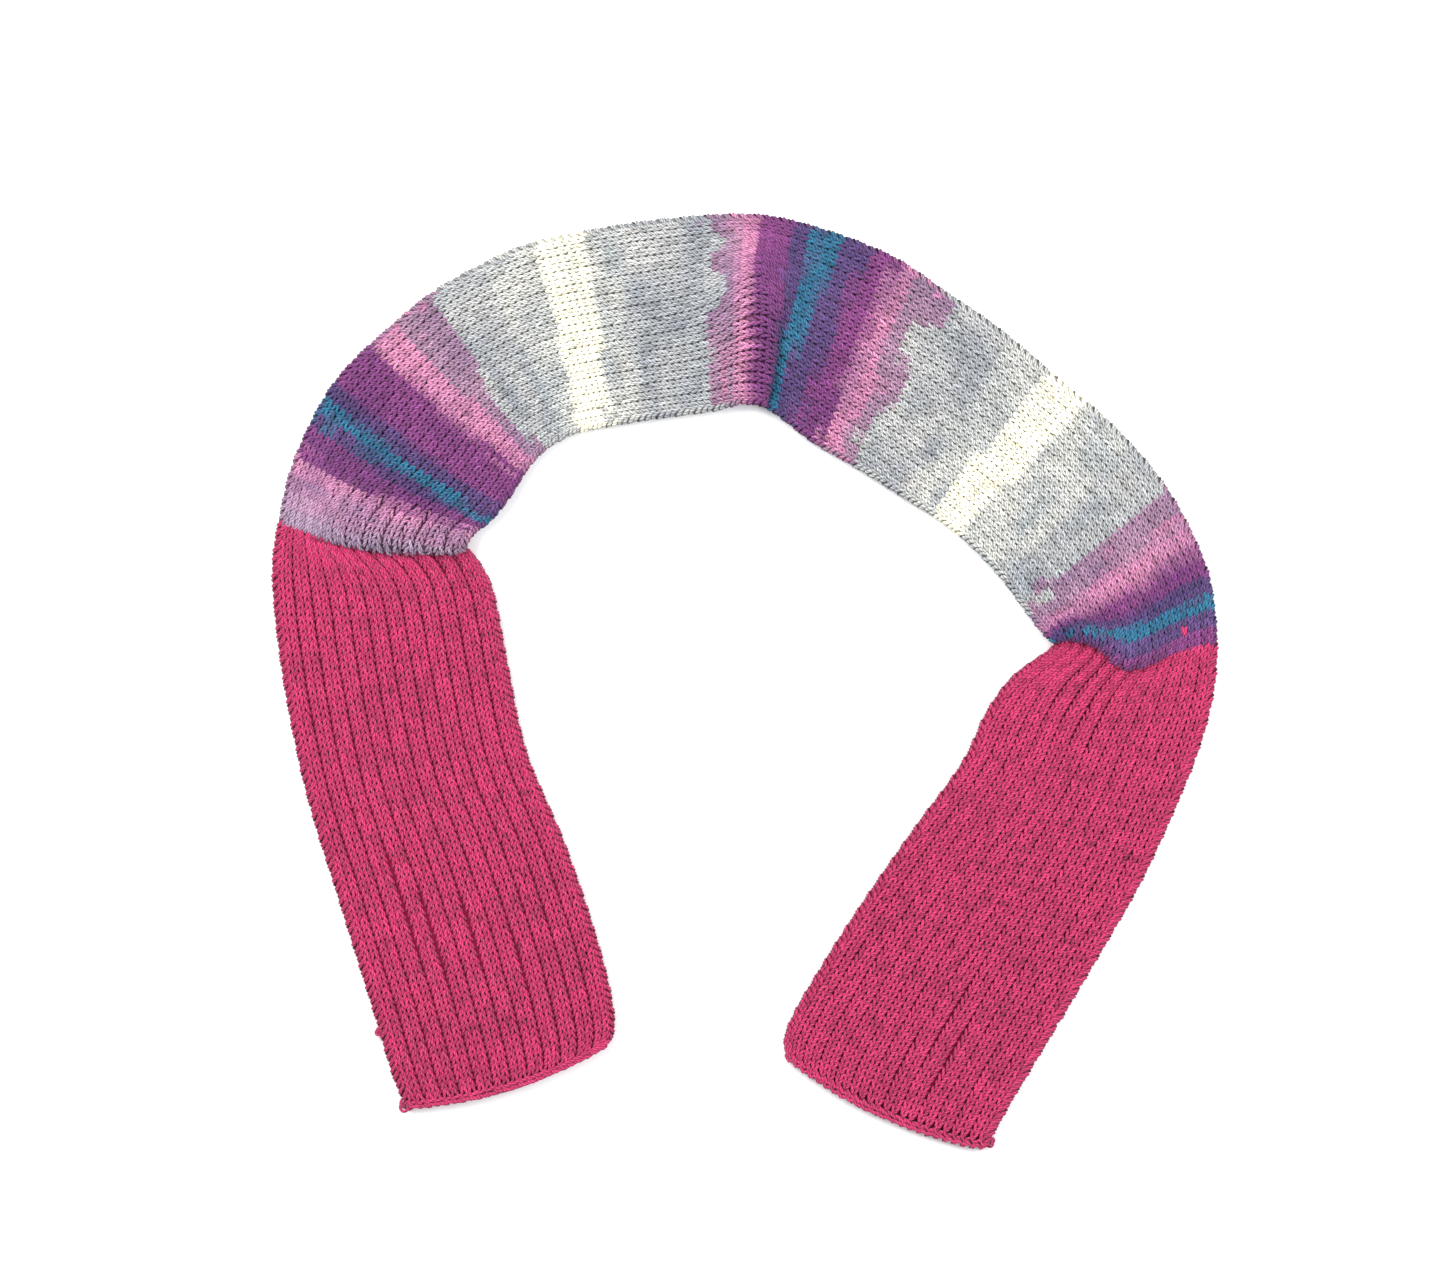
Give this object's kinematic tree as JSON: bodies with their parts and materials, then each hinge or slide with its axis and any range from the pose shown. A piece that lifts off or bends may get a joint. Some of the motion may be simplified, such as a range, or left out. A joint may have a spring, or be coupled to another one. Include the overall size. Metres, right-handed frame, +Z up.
{
  "type": "knitted scarf",
  "caption": "Long hand-knitted rib scarf laid flat in a horseshoe, with plain magenta ends, a self-striped purple, teal, grey and cream middle, and chain edges.",
  "frame": {"origin": "under the middle of the laid-out scarf, on the surface it lies on", "axes": "+Z up from the surface, +Y to the crown of the horseshoe, +X to the cast-on end's side"},
  "size_m": [0.6123, 0.6066, 0.008],
  "materials": {
    "magenta_yarn": "plied wool-blend yarn, matt with a soft sheen",
    "striped_yarn": "self-striping plied yarn, matt and slightly fuzzy"
  },
  "bodies": {
    "right_middle": {"crown_purple_band": "striped_yarn", "right_grey_band": "striped_yarn", "right_purple_band": "striped_yarn"},
    "left_middle": {"crown_pink_band": "striped_yarn", "left_grey_band": "striped_yarn", "left_purple_band": "striped_yarn"},
    "left_leg": {"left_leg_rib": "magenta_yarn"},
    "left_end": {"left_end_rib": "magenta_yarn", "bind_off_edge": "magenta_yarn", "bind_off_knot": "magenta_yarn", "selvedge_knot": "magenta_yarn"},
    "right_leg": {"right_leg_rib": "magenta_yarn"},
    "right_end": {"right_end_rib": "magenta_yarn", "cast_on_edge": "magenta_yarn", "cast_on_knot": "magenta_yarn"}
  },
  "joints": [
    {"name": "crown_fold", "type": "hinge", "parent": "right_middle", "child": "left_middle", "pos_m": [0.0155, 0.24, 0.008], "axis": [0.0898, 0.996, 0], "range_deg": [0, 60]},
    {"name": "left_join_fold", "type": "hinge", "parent": "left_middle", "child": "left_leg", "pos_m": [-0.2415, 0.0965, 0.008], "axis": [-0.9903, 0.1391, 0], "range_deg": [0, 90]},
    {"name": "left_leg_fold", "type": "hinge", "parent": "left_leg", "child": "left_end", "pos_m": [-0.2018, -0.0923, 0.008], "axis": [-0.973, -0.2308, 0], "range_deg": [0, 120]},
    {"name": "right_join_fold", "type": "hinge", "parent": "right_middle", "child": "right_leg", "pos_m": [0.251, 0.0215, 0.008], "axis": [-0.999, -0.0454, 0], "range_deg": [0, 90]},
    {"name": "right_leg_fold", "type": "hinge", "parent": "right_leg", "child": "right_end", "pos_m": [0.1845, -0.111, 0.008], "axis": [-0.9705, 0.241, 0], "range_deg": [0, 120]}
  ]
}
